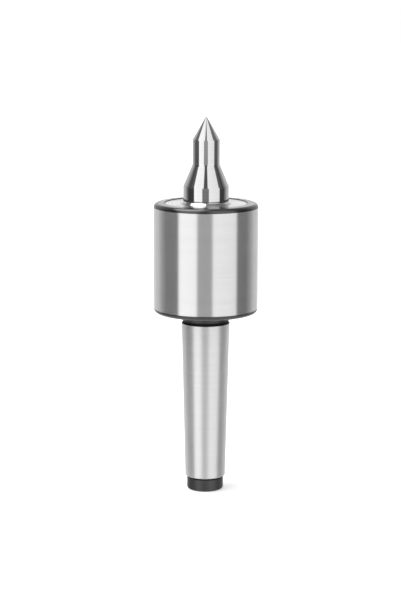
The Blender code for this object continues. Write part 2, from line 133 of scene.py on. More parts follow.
def turned(name, profile, steps=STEPS, closed=True, wobble=None):
    """A lathe mesh about Z from points (r, z, material index), down the outer side first.

    wobble(r, z, angle) gives the radius where it changes round the axis.
    """
    profile = steadied(profile, closed)
    vertices = []
    rings = []
    for r, z, _ in profile:
        if r < 1e-6:
            rings.append((len(vertices), 1))
            vertices.append((0.0, 0.0, z * MM))
            continue
        rings.append((len(vertices), steps))
        for k in range(steps):
            angle = 2 * pi * k / steps
            rr = wobble(r, z, angle) if wobble else r
            vertices.append((rr * cos(angle) * MM, rr * sin(angle) * MM, z * MM))
    faces = []
    indices = []
    count = len(profile)
    for i in range(count if closed else count - 1):
        (a, na), (b, nb) = rings[i], rings[(i + 1) % count]
        if na == 1 and nb == 1:
            continue
        for k in range(steps):
            m = (k + 1) % steps
            if na == 1:
                faces.append((a, b + k, b + m))
            elif nb == 1:
                faces.append((a + k, b, a + m))
            else:
                faces.append((a + k, b + k, b + m, a + m))
            indices.append(profile[i][2])
    mesh = bpy.data.meshes.new(name)
    mesh.from_pydata(vertices, [], faces)
    mesh.polygons.foreach_set("material_index", indices)
    return smoothed(mesh)


def add_piece(name, mesh, materials, body, slot, *nodes):
    """An object that rides with a body and replaces the given CAD nodes."""
    piece = bpy.data.objects.new(name, mesh)
    bpy.context.scene.collection.objects.link(piece)
    for material in materials:
        mesh.materials.append(material)
    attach(piece, body)
    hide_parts(*nodes)
    return piece


# ---------------------------------------------------------------- materials

def feed(links, socket, value):
    """Sets a socket to a number, or links an output to it."""
    if isinstance(value, (int, float)):
        socket.default_value = value
    else:
        links.new(value, socket)


def math_node(nodes, links, kind, a, b):
    node = nodes.new("ShaderNodeMath")
    node.operation = kind
    feed(links, node.inputs[0], a)
    feed(links, node.inputs[1], b)
    return node.outputs[0]


class Shader:
    """A Principled material and a few helpers for the nodes in front of it."""

    def __init__(self, name, colour, roughness, metallic=1.0, anisotropic=0.0, ior=1.5, coat=0.0):
        self.material = bpy.data.materials.new(name)
        self.material.use_nodes = True
        self.nodes = self.material.node_tree.nodes
        self.links = self.material.node_tree.links
        self.bsdf = self.nodes["Principled BSDF"]
        self.set("Base Color", (*colour, 1.0))
        self.set("Roughness", roughness)
        self.set("Metallic", metallic)
        self.set("Anisotropic", anisotropic)
        self.set("IOR", ior)
        self.set("Coat Weight", coat)
        self.place = self.nodes.new("ShaderNodeTexCoord").outputs["Object"]

    def set(self, socket, value):
        self.bsdf.inputs[socket].default_value = value

    def join(self, output, socket):
        self.links.new(output, socket)

    def math(self, kind, a, b):
        return math_node(self.nodes, self.links, kind, a, b)

    def scaled(self, factors):
        node = self.nodes.new("ShaderNodeMapping")
        node.inputs["Scale"].default_value = factors
        self.join(self.place, node.inputs["Vector"])
        return node.outputs[0]

    def rings_place(self, around, across):
        """Coordinates that run fast with the distance from the axis and slowly round it."""
        flat = self.nodes.new("ShaderNodeVectorMath")
        flat.operation = "MULTIPLY"
        flat.inputs[1].default_value = (1.0, 1.0, 0.0)
        self.join(self.place, flat.inputs[0])
        length = self.nodes.new("ShaderNodeVectorMath")
        length.operation = "LENGTH"
        self.join(flat.outputs[0], length.inputs[0])
        split = self.nodes.new("ShaderNodeSeparateXYZ")
        self.join(self.place, split.inputs[0])
        made = self.nodes.new("ShaderNodeCombineXYZ")
        self.join(self.math("MULTIPLY", split.outputs[0], around), made.inputs[0])
        self.join(self.math("MULTIPLY", split.outputs[1], around), made.inputs[1])
        self.join(self.math("MULTIPLY", length.outputs["Value"], across), made.inputs[2])
        return made.outputs[0]

    def noise(self, place, scale=1.0, detail=2.0, rough=0.5):
        node = self.nodes.new("ShaderNodeTexNoise")
        node.inputs["Scale"].default_value = scale
        node.inputs["Detail"].default_value = detail
        node.inputs["Roughness"].default_value = rough
        self.join(place, node.inputs["Vector"])
        return node.outputs["Fac"]

    def ranged(self, value, low, high, out_low, out_high):
        node = self.nodes.new("ShaderNodeMapRange")
        limits = {"From Min": low, "From Max": high, "To Min": out_low, "To Max": out_high}
        for key, number in limits.items():
            node.inputs[key].default_value = number
        self.join(value, node.inputs["Value"])
        return node.outputs["Result"]

    def shade(self, factor, dark, light):
        node = self.nodes.new("ShaderNodeMix")
        node.data_type = "RGBA"
        node.inputs["A"].default_value = (*dark, 1.0)
        node.inputs["B"].default_value = (*light, 1.0)
        self.join(factor, node.inputs["Factor"])
        self.join(node.outputs["Result"], self.bsdf.inputs["Base Color"])

    def bump(self, *heights):
        """heights: (output, strength, distance in mm) from the coarsest to the finest."""
        normal = None
        for value, strength, distance in heights:
            node = self.nodes.new("ShaderNodeBump")
            node.inputs["Strength"].default_value = strength
            node.inputs["Distance"].default_value = distance * MM
            self.join(value, node.inputs["Height"])
            if normal:
                self.join(normal, node.inputs["Normal"])
            normal = node.outputs["Normal"]
        self.join(normal, self.bsdf.inputs["Normal"])

    def spun(self, rotation=0.25):
        """Marks that run round the axis: the gloss spreads along it."""
        node = self.nodes.new("ShaderNodeTangent")
        node.direction_type = "RADIAL"
        node.axis = "Z"
        self.join(node.outputs["Tangent"], self.bsdf.inputs["Tangent"])
        self.set("Anisotropic Rotation", rotation)


def marked_steel(
    name, colour, roughness, anisotropic, marks, depth, spread, flat=False, metallic=1.0, tone=0.07
):
    """Steel with fine marks round the axis.

    marks is their number per metre, depth their depth in mm, spread and tone how far the gloss and the
    colour vary, and flat is for a faced end, where the marks are rings.
    """
    shader = Shader(name, colour, roughness, metallic=metallic, anisotropic=anisotropic)
    around, wide_around, wide_marks = 18.0, 9.0, marks / 7
    if flat:
        fine = shader.rings_place(around, marks)
        wide = shader.rings_place(wide_around, wide_marks)
    else:
        fine = shader.scaled((around, around, marks))
        wide = shader.scaled((wide_around, wide_around, wide_marks))
    fine_noise = shader.noise(fine, detail=3.0, rough=0.6)
    wide_noise = shader.noise(wide, detail=2.0)
    smudge = shader.noise(shader.place, scale=55.0, detail=3.0, rough=0.6)
    fine_part = shader.math("MULTIPLY", fine_noise, 0.6)
    wide_part = shader.math("MULTIPLY", wide_noise, 0.4)
    mixed = shader.math("ADD", fine_part, wide_part)
    dark = tuple(c * (1 - tone) for c in colour)
    light = tuple(min(1.0, c * (1 + tone)) for c in colour)
    shader.shade(shader.ranged(mixed, 0.35, 0.65, 0.0, 1.0), dark, light)
    worn = shader.math("ADD", shader.math("MULTIPLY", mixed, 0.7), shader.math("MULTIPLY", smudge, 0.3))
    rough = shader.ranged(worn, 0.35, 0.65, roughness - spread, roughness + spread)
    shader.join(rough, shader.bsdf.inputs["Roughness"])
    shader.bump((wide_noise, 0.35, depth * 2), (fine_noise, 0.35, depth))
    shader.spun()
    return shader.material


def blackened(name, colour, roughness, ior):
    """Black oxide: smooth and glossy, with a fine orange peel left by the unground surface below it."""
    shader = Shader(name, colour, roughness, metallic=0.0, ior=ior)
    grain = shader.noise(shader.place, scale=1900.0, detail=3.0)
    patch = shader.noise(shader.place, scale=120.0, detail=4.0, rough=0.6)
    turned_marks = shader.noise(shader.scaled((14.0, 14.0, 2600.0)), detail=2.0)
    shader.shade(
        shader.ranged(patch, 0.35, 0.65, 0.0, 1.0),
        tuple(c * 0.75 for c in colour),
        tuple(c * 1.5 for c in colour),
    )
    rough = shader.ranged(patch, 0.3, 0.7, roughness - 0.04, roughness + 0.07)
    shader.join(rough, shader.bsdf.inputs["Roughness"])
    shader.bump((turned_marks, 0.12, 0.006), (grain, 0.12, 0.004))
    return shader.material


def rubber(name, colour):
    """Matte moulded rubber with a little dust."""
    shader = Shader(name, colour, 0.6, metallic=0.0)
    grain = shader.noise(shader.place, scale=2600.0, detail=3.0)
    dust = shader.noise(shader.place, scale=180.0, detail=4.0)
    light = tuple(c * 2.2 for c in colour)
    shader.shade(shader.ranged(dust, 0.45, 0.75, 0.0, 1.0), colour, light)
    shader.join(shader.ranged(dust, 0.3, 0.7, 0.5, 0.72), shader.bsdf.inputs["Roughness"])
    shader.bump((grain, 0.3, 0.02))
    return shader.material


def ball_steel(name):
    """Lapped balls: near mirrors, with faint random lapping marks."""
    shader = Shader(name, (0.66, 0.66, 0.67), 0.05)
    scratch = shader.noise(shader.scaled((260.0, 2600.0, 700.0)), detail=4.0, rough=0.7)
    haze = shader.noise(shader.place, scale=240.0, detail=2.0)
    shader.shade(haze, (0.6, 0.6, 0.61), (0.7, 0.7, 0.71))
    shader.join(shader.ranged(scratch, 0.35, 0.7, 0.03, 0.09), shader.bsdf.inputs["Roughness"])
    shader.bump((scratch, 0.04, 0.002))
    return shader.material


# The haze of a ground surface is taken as a less than full metal.
GROUND = marked_steel(
    "ground_housing_steel", (0.6, 0.6, 0.6), 0.2, 0.7, 2600.0, 0.003, 0.015, metallic=0.82, tone=0.03
)
TAPER = marked_steel(
    "ground_taper_steel", (0.625, 0.625, 0.625), 0.34, 0.4, 3000.0, 0.005, 0.025, metallic=0.64, tone=0.035
)
POLISHED = marked_steel(
    "polished_point_steel", (0.6, 0.6, 0.605), 0.065, 0.5, 4200.0, 0.001, 0.012, tone=0.04
)
TURNED = marked_steel("turned_face_steel", (0.5, 0.5, 0.5), 0.27, 0.6, 3600.0, 0.004, 0.03, flat=True)
BORED = marked_steel("bored_steel", (0.5, 0.5, 0.5), 0.3, 0.5, 1900.0, 0.008, 0.05)
BLACK = blackened("black_oxide", (0.01, 0.01, 0.0105), 0.2, 1.75)
TAIL = blackened("blackened_tail_steel", (0.017, 0.017, 0.0175), 0.42, 1.65)
# Painted shade: a near-black steel, darker than the tail's finish, put where shade falls in the neck's
# groove and under the taper's lower end.
PAINTED_SHADE = blackened("painted_shade_steel", (0.004, 0.004, 0.004), 0.6, 1.3)
RACE = marked_steel("honed_race_steel", (0.62, 0.62, 0.625), 0.13, 0.5, 4200.0, 0.002, 0.03)
RACE_FACE = marked_steel(
    "ground_ring_face_steel", (0.6, 0.6, 0.6), 0.22, 0.5, 3000.0, 0.004, 0.04, flat=True
)
SPACER = marked_steel("spacer_steel", (0.47, 0.47, 0.475), 0.3, 0.5, 2200.0, 0.006, 0.05)
PRESSED = marked_steel("pressed_strip_steel", (0.42, 0.42, 0.43), 0.36, 0.2, 700.0, 0.006, 0.06)
BRASS = marked_steel("machined_brass", (0.7, 0.47, 0.17), 0.27, 0.4, 2400.0, 0.006, 0.06)
BALLS = ball_steel("lapped_ball_steel")
SPRING = blackened("dark_spring_steel", (0.03, 0.03, 0.032), 0.36, 2.0)
GARTER = marked_steel("bright_wire_steel", (0.55, 0.55, 0.56), 0.25, 0.0, 1500.0, 0.003, 0.05)
SEAL = rubber("seal_rubber", (0.02, 0.02, 0.021))
ORING = rubber("ring_rubber", (0.011, 0.011, 0.011))

# ---------------------------------------------------------------- shank and housing

HOUSING_R, TAIL_END, CREST = node_span("shank_housing")
FILLET = 2.2  # the black front edge of the housing
FILLET_START = 144.05
CROWN = 1.5  # slope in degrees at its inner end
WALL_R = 20.6  # the recess for the cover
BACK_FILLET = 2.35
BACK = 91.05  # back face of the housing
NECK_R = 11.85
NECK_GROOVE_R = 11.4
COLLAR = 85.9  # upper end of the taper
GAUGE_DIAMETER = 23.825
GAUGE_Z = 81.0
TAPER_RATE = 0.0502  # diameter per length, Morse taper 3
TAPER_CHAMFER = 0.25
TAIL_TOP = 7.0
TAIL_R = 9.1
TAIL_SHADE = 0.95  # height of the band of painted shade under the taper's lower end, where its shadow falls on the tail
THREAD_PITCH = 1.75
THREAD_MINOR = 5.1
THREAD_DEPTH = 0.9
THREAD_START = 1.0
THREAD_ROWS = 170
DRAWBAR_DEPTH = 28.0
THREAD_END = DRAWBAR_DEPTH - 0.2


def taper_r(z):
    return GAUGE_DIAMETER / 2 + (z - GAUGE_Z) * TAPER_RATE / 2


def thread(r, z, angle):
    """A right-hand V thread cut outward from the drawbar bore, fading at both ends."""
    if abs(r - THREAD_MINOR) > 1e-4 or not THREAD_START < z < THREAD_END:
        return r
    phase = (z / THREAD_PITCH + angle / (2 * pi)) % 1.0
    vee = max(0.0, 1.0 - abs(phase - 0.5) / 0.42)
    fade = min(1.0, (z - THREAD_START) / 1.2, (THREAD_END - z) / 3.5)
    return r + THREAD_DEPTH * min(1.0, vee * 1.12) * max(0.0, fade)


def make_housing():
    """One profile: up the stepped bore, over the black front edge, down the outside and into the tail."""
    bore = [
        (0.0, 65.41, 0.0, 2),
        (9.3, 71.0, 0.2),
        (9.3, 97.7, 0.3),
        (14.3, 97.7, 0.3),
        (14.3, 108.7, 0.3),
        (20.3, 108.7, 0.4),
        (20.3, 140.2, 0.05),
        (WALL_R, 140.2, 0.05),
        (WALL_R, CREST - 0.45, 0.0, 1),
        (WALL_R, CREST - 0.12, 0.06),
        (WALL_R + 0.12, CREST - 0.01, 0.06),
    ]
    profile = rounded(bore, closed=False)
    front = arc(HOUSING_R - FILLET, FILLET_START, FILLET, 90 - CROWN, 0, 18)
    back = arc(HOUSING_R - BACK_FILLET, BACK + BACK_FILLET, BACK_FILLET, 0, -90, 16)
    profile += [(r, z, 1) for r, z in front[:-1]]
    wall = FILLET_START - BACK - BACK_FILLET
    profile += [(HOUSING_R, FILLET_START - k * wall / 6, 0) for k in range(6)]
    profile += [(r, z, 1) for r, z in back]
    outside = [
        (HOUSING_R - BACK_FILLET, BACK, 0.0, 1),
        (NECK_R, BACK, 0.7, 4),
        # Painted shade from here down the neck, through its groove and over the taper's upper chamfer.
        (NECK_R, 87.2, 0.15, 5),
        (NECK_GROOVE_R, 87.0, 0.1),
        (NECK_GROOVE_R, COLLAR, 0.1),
        (taper_r(COLLAR) - TAPER_CHAMFER, COLLAR, 0.05),
        (taper_r(COLLAR), COLLAR - TAPER_CHAMFER, 0.08, 3),
        (taper_r(TAIL_TOP), TAIL_TOP + TAPER_CHAMFER, 0.08),
        # Painted shade on the taper's lower end face and on the top of the tail, TAIL_SHADE deep.
        (taper_r(TAIL_TOP) - TAPER_CHAMFER, TAIL_TOP, 0.05, 5),
        (TAIL_R, TAIL_TOP, 0.15),
        (TAIL_R, TAIL_TOP - TAIL_SHADE, 0.0, 4),
        (TAIL_R, 0.0, 1.1),
        (6.25, TAIL_END, 0.12, 2),
        (THREAD_MINOR, 1.99, 0.0),
        (THREAD_MINOR, DRAWBAR_DEPTH, 0.0),
        (0.0, DRAWBAR_DEPTH + 3.06, 0.0),
    ]
    lower = rounded(outside, closed=False)[1:]
    mouth = lower[-3][1]
    profile += lower[:-2]
    for k in range(1, THREAD_ROWS):
        profile.append((THREAD_MINOR, mouth + (DRAWBAR_DEPTH - mouth) * k / THREAD_ROWS, 2))
    profile += lower[-2:]
    mesh = turned("housing_body", profile, closed=False, wobble=thread)
    materials = [GROUND, BLACK, BORED, TAPER, TAIL, PAINTED_SHADE]
    add_piece("housing_body", mesh, materials, "housing", "ground_steel", "shank_housing")


# ---------------------------------------------------------------- spindle

TIP_R = 6.8
POINT_FLAT = 0.15  # radius of the blunt end
HALF_ANGLE = radians(30.0)
FLARE_TOP = 165.4
FLARE_BOTTOM = 154.6
NOSE_R = 11.4
NOSE_FOOT = 147.15


def make_spindle():
    _, end, top = node_span("center_spindle")
    slope = tan(HALF_ANGLE)
    point = top + POINT_FLAT / slope
    base = point - TIP_R / slope
    corners = [
        (0.0, top, 0.0, 0),
        (POINT_FLAT, top, 0.1),
        (TIP_R, base, 0.06),
        (TIP_R, FLARE_TOP, 2.5),
        (NOSE_R, FLARE_BOTTOM, 0.5),
        (NOSE_R, NOSE_FOOT, 0.2),
        (12.5, 146.08, 0.04),
        (12.5, 145.2, 0.05),
        (12.2, 144.9, 0.05),
        (12.2, 137.0, 0.3),
        (8.5, 137.0, 0.25, 1),
        (8.5, 109.0, 0.05),
        (8.0, 109.0, 0.05),
        (8.0, 107.4, 0.05),
        (8.5, 107.4, 0.05),
        (8.5, 106.9, 0.15),
        (7.5, 106.9, 0.2),
        (7.5, 97.0, 0.3),
        (6.0, 97.0, 0.3),
        (6.0, end + 0.5, 0.1),
        (5.5, end, 0.1),
        (0.0, end, 0.0),
    ]
    mesh = turned("spindle_body", rounded(corners, closed=False), closed=False)
    add_piece("spindle_body", mesh, [POLISHED, RACE], "spindle", "polished_steel", "center_spindle")


def make_cover():
    r, low, top = node_span("front_cover")
    corners = [
        (12.6, top, 0.04, 0),
        (r, top, 0.12, 1),
        (r, 144.4, 0.05),
        (18.2, 144.4, 0.2),
        (18.2, 142.0, 0.2),
        (r, 142.0, 0.05),
        (r, 140.5, 0.05),
        (19.9, 140.5, 0.05),
        (19.9, low, 0.2),
        (17.5, low, 0.3),
        (17.5, 144.6, 0.2),
        (12.6, 144.6, 0.2),
    ]
    mesh = turned("cover_disc", rounded(corners))
    add_piece("cover_disc", mesh, [TURNED, BORED], "housing", "turned_steel", "front_cover")


# ---------------------------------------------------------------- pieces inside the housing

PITCH = 14.25  # radius of the circle of ball middles
BALL_R = 3.375
BALLS_ROUND = 9
THRUST_PITCH = 10.75
THRUST_BALL_R = 2.2
THRUST_ROUND = 10
FRONT, REAR, THRUST = 131.0, 115.0, 102.3  # heights of the ball middles
TRACK_PLAY = 0.3  # a track's radius over its ball's
NEEDLE_MIDDLE = 83.0
NEEDLE_PITCH = 7.1
NEEDLE_R = 0.8
NEEDLES_ROUND = 12
CLIP_MIDDLE = 108.2
RING_STEPS = 192


def ring(name, corners, materials, body, slot, node):
    add_piece(name, turned(name, rounded(corners), RING_STEPS), materials, body, slot, node)


def on_circle(i, count, pitch, z):
    """The place of one of several equal things on a circle."""
    turn = Matrix.Rotation(2 * pi * i / count, 4, "Z")
    return turn @ Matrix.Translation((pitch * MM, 0.0, z * MM))


def groove(middle_r, middle_z, radius, start, end, material):
    """Ball track points between two angles, as corners without an edge radius."""
    points = arc(middle_r, middle_z, radius, start, end, 20)
    return [(r, z, 0.0, material) for r, z in points[:-1]] + [(*points[-1], 0.0, 0)]


def make_ball_bearing(side, z):
    """An angular contact bearing, thrust side down."""
    track = BALL_R + TRACK_PLAY
    low = degrees(asin((16.7 - PITCH) / track))
    high = degrees(asin((17.7 - PITCH) / track))
    outer = [(20.0, z + 6.0, 0.7, 0), (20.0, z - 6.0, 0.7), (16.7, z - 6.0, 0.35)]
    outer += groove(PITCH, z, track, low - 90.0, 90.0 - high, 1)
    outer += [(17.7, z + 6.0, 0.35)]
    steels = [RACE_FACE, RACE]
    ring(side + "_outer_race", outer, steels, "housing", "bearing_steel", side + "_bearing_outer_ring")
    half = degrees(asin((PITCH - 11.7) / track))
    inner = [(11.7, z + 5.7, 0.35, 0)]
    inner += groove(PITCH, z, track, 90.0 + half, 270.0 - half, 1)
    inner += [(11.7, z - 6.0, 0.35), (8.8, z - 6.0, 0.5), (8.8, z + 5.7, 0.5)]
    ring(side + "_inner_race", inner, steels, "spindle", "bearing_steel", side + "_bearing_inner_ring")
    high, low = z + 4.8, z - 4.8
    cage = [(15.9, high, 0.25, 0), (15.9, low, 0.25), (12.6, low, 0.25), (12.6, high, 0.25)]
    pockets = radial_bars(z, PITCH, BALL_R + 0.35, BALLS_ROUND)
    mesh = carved(turned(side + "_cage", rounded(cage), 216), pockets)
    add_piece(side + "_cage_ring", mesh, [BRASS], side + "_cage", "cage_brass", side + "_bearing_cage")
    make_balls(side + "_balls", z, PITCH, BALL_R, BALLS_ROUND, side + "_cage", side + "_bearing_ball_")


def make_balls(name, z, pitch, radius, count, body, prefix):
    builder = bmesh.new()
    for i in range(count):
        angle = 2 * pi * i / count
        place = Matrix.Translation((pitch * cos(angle) * MM, pitch * sin(angle) * MM, z * MM))
        turn = Matrix.Rotation(angle * 3.1, 4, (0.4, 0.7, 0.6))
        bmesh.ops.create_uvsphere(
            builder, u_segments=40, v_segments=24, radius=radius * MM, matrix=place @ turn
        )
    mesh = bpy.data.meshes.new(name)
    builder.to_mesh(mesh)
    builder.free()
    mesh.shade_smooth()
    nodes = [f"{prefix}{i + 1:02d}" for i in range(count)]
    add_piece(name, mesh, [BALLS], body, "ball_steel", *nodes)


def bar(builder, radius, length, place, segments=48):
    bmesh.ops.create_cone(
        builder,
        cap_ends=True,
        segments=segments,
        radius1=radius * MM,
        radius2=radius * MM,
        depth=length * MM,
        matrix=place,
    )


def radial_bars(z, pitch, radius, count):
    builder = bmesh.new()
    for i in range(count):
        bar(builder, radius, 9.0, on_circle(i, count, pitch, z) @ Matrix.Rotation(pi / 2, 4, "Y"))
    return builder


def axial_bars(z, pitch, radius, length, count):
    builder = bmesh.new()
    for i in range(count):
        bar(builder, radius, length, on_circle(i, count, pitch, z))
    return builder


def applied(item):
    """The item's mesh with its modifiers or curve settings applied."""
    graph = bpy.context.evaluated_depsgraph_get()
    return bpy.data.meshes.new_from_object(item.evaluated_get(graph), depsgraph=graph)


def carved(mesh, cut):
    """The mesh less the closed bodies in the builder, with the new edges kept sharp."""
    tool_mesh = bpy.data.meshes.new("cut")
    cut.to_mesh(tool_mesh)
    cut.free()
    link = bpy.context.scene.collection.objects.link
    blank = bpy.data.objects.new("blank", mesh)
    tool = bpy.data.objects.new("cut", tool_mesh)
    link(blank)
    link(tool)
    boolean = blank.modifiers.new("Cut", "BOOLEAN")
    boolean.operation = "DIFFERENCE"
    boolean.solver = "EXACT"
    boolean.object = tool
    made = applied(blank)
    name = mesh.name
    for item in (blank, tool):
        data = item.data
        bpy.data.objects.remove(item, do_unlink=True)
        bpy.data.meshes.remove(data)
    made.name = name
    return smoothed(made)


def make_spacers():
    high, low = 124.7, 121.3
    outer = [(20.0, high, 0.4, 0), (20.0, low, 0.4), (17.0, low, 0.3), (17.0, high, 0.3)]
    ring("outer_spacer_ring", outer, [SPACER], "housing", "spacer_steel", "outer_spacer")
    inner = [(11.5, high, 0.3, 0), (11.5, low, 0.3), (8.8, low, 0.3), (8.8, high, 0.3)]
    ring("inner_spacer_ring", inner, [SPACER], "spindle", "spacer_steel", "inner_spacer")


def make_clip():
    """A retaining ring that narrows towards its two eyes."""
    inside, half_gap, count = 8.3, 3.6, 96
    half = degrees(asin(half_gap / 9.6))
    outline = []
    for k in range(count + 1):
        angle = radians(half + (360 - 2 * half) * k / count)
        thick = 1.75 + 0.95 * (1 - cos(angle)) / 2
        from_gap = min(degrees(angle), 360 - degrees(angle)) - half
        eye = 0.95 * exp(-(((from_gap - 5.5) / 6.0) ** 2))
        reach = inside + thick + eye
        outline.append((reach * cos(angle), reach * sin(angle)))
    half = degrees(asin(half_gap / inside))
    for k in range(count, -1, -1):
        angle = radians(half + (360 - 2 * half) * k / count)
        outline.append((inside * cos(angle), inside * sin(angle)))
    curve = bpy.data.curves.new("clip", "CURVE")
    curve.dimensions = "2D"
    curve.fill_mode = "BOTH"
    curve.extrude = 0.42 * MM
    curve.bevel_depth = 0.08 * MM
    curve.bevel_resolution = 1
    curve.offset = -0.08 * MM
    eye_r, eye_angle, hole_r = 9.55, radians(half + 3.2), 0.6
    holes = []
    for sign in (1, -1):
        x, y = eye_r * cos(eye_angle), sign * eye_r * sin(eye_angle)
        turns = [2 * pi * k / 24 for k in range(24)]
        holes.append([(x + hole_r * cos(turn), y + hole_r * sin(turn)) for turn in turns])
    for points in [outline] + holes:
        line = curve.splines.new("POLY")
        line.points.add(len(points) - 1)
        for point, (x, y) in zip(line.points, points):
            point.co = (x * MM, y * MM, 0.0, 1.0)
        line.use_cyclic_u = True
    item = bpy.data.objects.new("clip", curve)
    bpy.context.scene.collection.objects.link(item)
    mesh = applied(item)
    bpy.data.objects.remove(item, do_unlink=True)
    mesh.transform(Matrix.Translation((0.0, 0.0, CLIP_MIDDLE * MM)))
    mesh.materials.clear()
    add_piece("clip_ring", smoothed(mesh), [SPRING], "spindle", "spring_steel", "retaining_ring")


def make_thrust_bearing():
    track = THRUST_BALL_R + TRACK_PLAY
    low, high, thick = 98.0, 106.6, 2.6
    steels = [RACE_FACE, RACE]
    half = degrees(asin((THRUST - low - thick) / track))
    lower = [(14.0, low + thick, 0.35, 0), (14.0, low, 0.45), (8.2, low, 0.35), (8.2, low + thick, 0.35)]
    lower += groove(THRUST_PITCH, THRUST, track, 180.0 + half, 360.0 - half, 1)
    ring("thrust_lower_washer", lower, steels, "housing", "bearing_steel", "thrust_housing_washer")
    upper = [(14.0, high, 0.45, 0), (14.0, high - thick, 0.35)]
    upper += groove(THRUST_PITCH, THRUST, track, half, 180.0 - half, 1)
    upper += [(7.8, high - thick, 0.35), (7.8, high, 0.35)]
    ring("thrust_upper_washer", upper, steels, "spindle", "bearing_steel", "thrust_shaft_washer")
    cage = [(13.65, 103.7, 0.3, 0), (13.65, 100.9, 0.3), (7.8, 100.9, 0.3), (7.8, 103.7, 0.3)]
    pockets = axial_bars(THRUST, THRUST_PITCH, 2.55, 6.0, THRUST_ROUND)
    mesh = carved(turned("thrust_cage", rounded(cage), 200), pockets)
    body = "thrust_ball_cage"
    add_piece("thrust_cage_ring", mesh, [PRESSED], body, "pressed_steel", "thrust_cage")
    make_balls("thrust_balls", THRUST, THRUST_PITCH, THRUST_BALL_R, THRUST_ROUND, body, "thrust_ball_")


def make_needle_bearing():
    cup = [
        (9.0, 89.0, 0.5, 0),
        (9.0, 77.0, 0.5),
        (6.8, 77.0, 0.25),
        (6.8, 77.8, 0.25),
        (8.2, 77.8, 0.3),
        (8.2, 88.2, 0.3),
        (6.8, 88.2, 0.25),
        (6.8, 89.0, 0.25),
    ]
    ring("needle_cup_shell", cup, [PRESSED], "housing", "pressed_steel", "needle_bearing_cup")
    top, bottom = NEEDLE_MIDDLE + 4.9, NEEDLE_MIDDLE - 4.9
    cage = [(7.45, top, 0.12, 0), (7.45, bottom, 0.12), (6.75, bottom, 0.12), (6.75, top, 0.12)]
    places = [on_circle(i, NEEDLES_ROUND, NEEDLE_PITCH, NEEDLE_MIDDLE) for i in range(NEEDLES_ROUND)]
    slots = bmesh.new()
    for place in places:
        bmesh.ops.create_cube(slots, size=MM, matrix=place @ Matrix.Diagonal((3.0, 1.66, 8.9, 1.0)))
    mesh = carved(turned("needle_set", rounded(cage), RING_STEPS), slots)
    mesh.materials.append(PRESSED)
    builder = bmesh.new()
    builder.from_mesh(mesh)
    before = len(builder.faces)
    for place in places:
        bar(builder, NEEDLE_R, 8.8, place, segments=28)
    builder.faces.ensure_lookup_table()
    needles = builder.faces[before:]
    for face in needles:
        face.material_index = 1
    rims = {edge for face in needles if len(face.verts) > 4 for edge in face.edges}
    bmesh.ops.bevel(
        builder, geom=list(rims), offset=0.12 * MM, segments=2, affect="EDGES", profile=0.5
    )
    builder.to_mesh(mesh)
    builder.free()
    mesh.materials.clear()
    add_piece(
        "needle_set_body", smoothed(mesh), [PRESSED, RACE], "needle_set", "bearing_steel", "needle_cage"
    )


GARTER_R, GARTER_Z = 14.4, 140.2
GARTER_TURNS = 150
ORING_R, ORING_Z = 19.35, 143.2


def coiled(r, z, angle):
    """Close turns of wire wound round a ring."""
    lean = atan2(z - GARTER_Z, r - GARTER_R)
    return r + 0.055 * cos(GARTER_TURNS * angle + lean) * cos(lean)


def make_seals():
    seal = [
        (13.8, 144.2, 0.15, 0),
        (17.2, 144.2, 0.4),
        (17.2, 138.3, 0.15),
        (16.2, 138.3, 0.15),
        (16.2, 142.8, 0.5),
        (13.5, 142.8, 0.25),
        (13.5, 138.7, 0.15),
        (12.9, 138.7, 0.1),
        (12.5, 139.7, 0.05),
        (13.0, 142.8, 0.4),
    ]
    ring("seal_body", seal, [SEAL], "housing", "seal_rubber", "shaft_seal")
    coil = [(r, z, 0) for r, z in arc(GARTER_R, GARTER_Z, 0.54, 90.0, -270.0, 16)[:-1]]
    mesh = turned("garter_spring", coil, GARTER_TURNS * 12, wobble=coiled)
    add_piece("garter_spring", mesh, [GARTER], "housing", "garter_steel", "seal_spring")
    section = [(r, z, 0) for r, z in arc(ORING_R, ORING_Z, 0.84, 90.0, -270.0, 28)[:-1]]
    mesh = turned("cover_seal_ring", section, RING_STEPS)
    add_piece("cover_seal_ring", mesh, [ORING], "housing", "oring_rubber", "cover_oring")


make_housing()
make_spindle()
make_cover()
make_ball_bearing("front", FRONT)
make_ball_bearing("rear", REAR)
make_spacers()
make_clip()
make_thrust_bearing()
make_needle_bearing()
make_seals()

# ---------------------------------------------------------------- floor, light and camera

def make_floor():
    """A pale floor that gives off a little light, so that it stays as light as the backdrop."""
    mesh = bpy.data.meshes.new("floor")
    size = 4.0
    corners = [(-size, -size, 0), (size, -size, 0), (size, size, 0), (-size, size, 0)]
    mesh.from_pydata(corners, [], [(0, 1, 2, 3)])
    floor = bpy.data.objects.new("floor", mesh)
    floor.location.z = -0.00005
    bpy.context.scene.collection.objects.link(floor)
    shader = Shader("pale_floor", (0.9, 0.9, 0.9), 0.9, metallic=0.0)
    shader.set("Specular IOR Level", 0.1)
    shader.set("Emission Color", (1.0, 1.0, 1.0, 1.0))
    shader.set("Emission Strength", 0.4)
    mesh.materials.append(shader.material)
    floor.visible_glossy = False


# Studio: brightness by direction round the object; 0 degrees is towards the camera, positive to its right.
STRIPS = [
    (-180, 1.25),
    (-165, 1.0),
    (-150, 0.76),
    (-128, 0.68),
    (-112, 0.3),
    (-96, 0.05),
    (-64.5, 0.06),
    (-60.5, 1.58),
    (-4, 1.44),
    (0, 1.4),
    (69.5, 1.22),
    (73.5, 0.06),
    (98, 0.05),
    (114, 0.34),
    (130, 0.7),
    (150, 0.76),
    (165, 1.0),
    (180, 1.25),
]
# The gap between the two front panels, and the least light in front of the flags, by the height of the
# direction, from -1 straight down to 1 straight up.
GAP_BY_HEIGHT = [
    (-1.0, 0.38),
    (-0.2, 0.38),
    (-0.15, 0.42),
    (-0.1, 0.5),
    (0.1, 0.4),
    (0.35, 0.12),
    (0.62, 0.12),
    (0.74, 0.22),
]
FLAG_BY_HEIGHT = [
    (-1.0, 0.19),
    (0.1, 0.15),
    (0.25, 0.055),
    (0.4, 0.07),
    (0.55, 0.22),
]
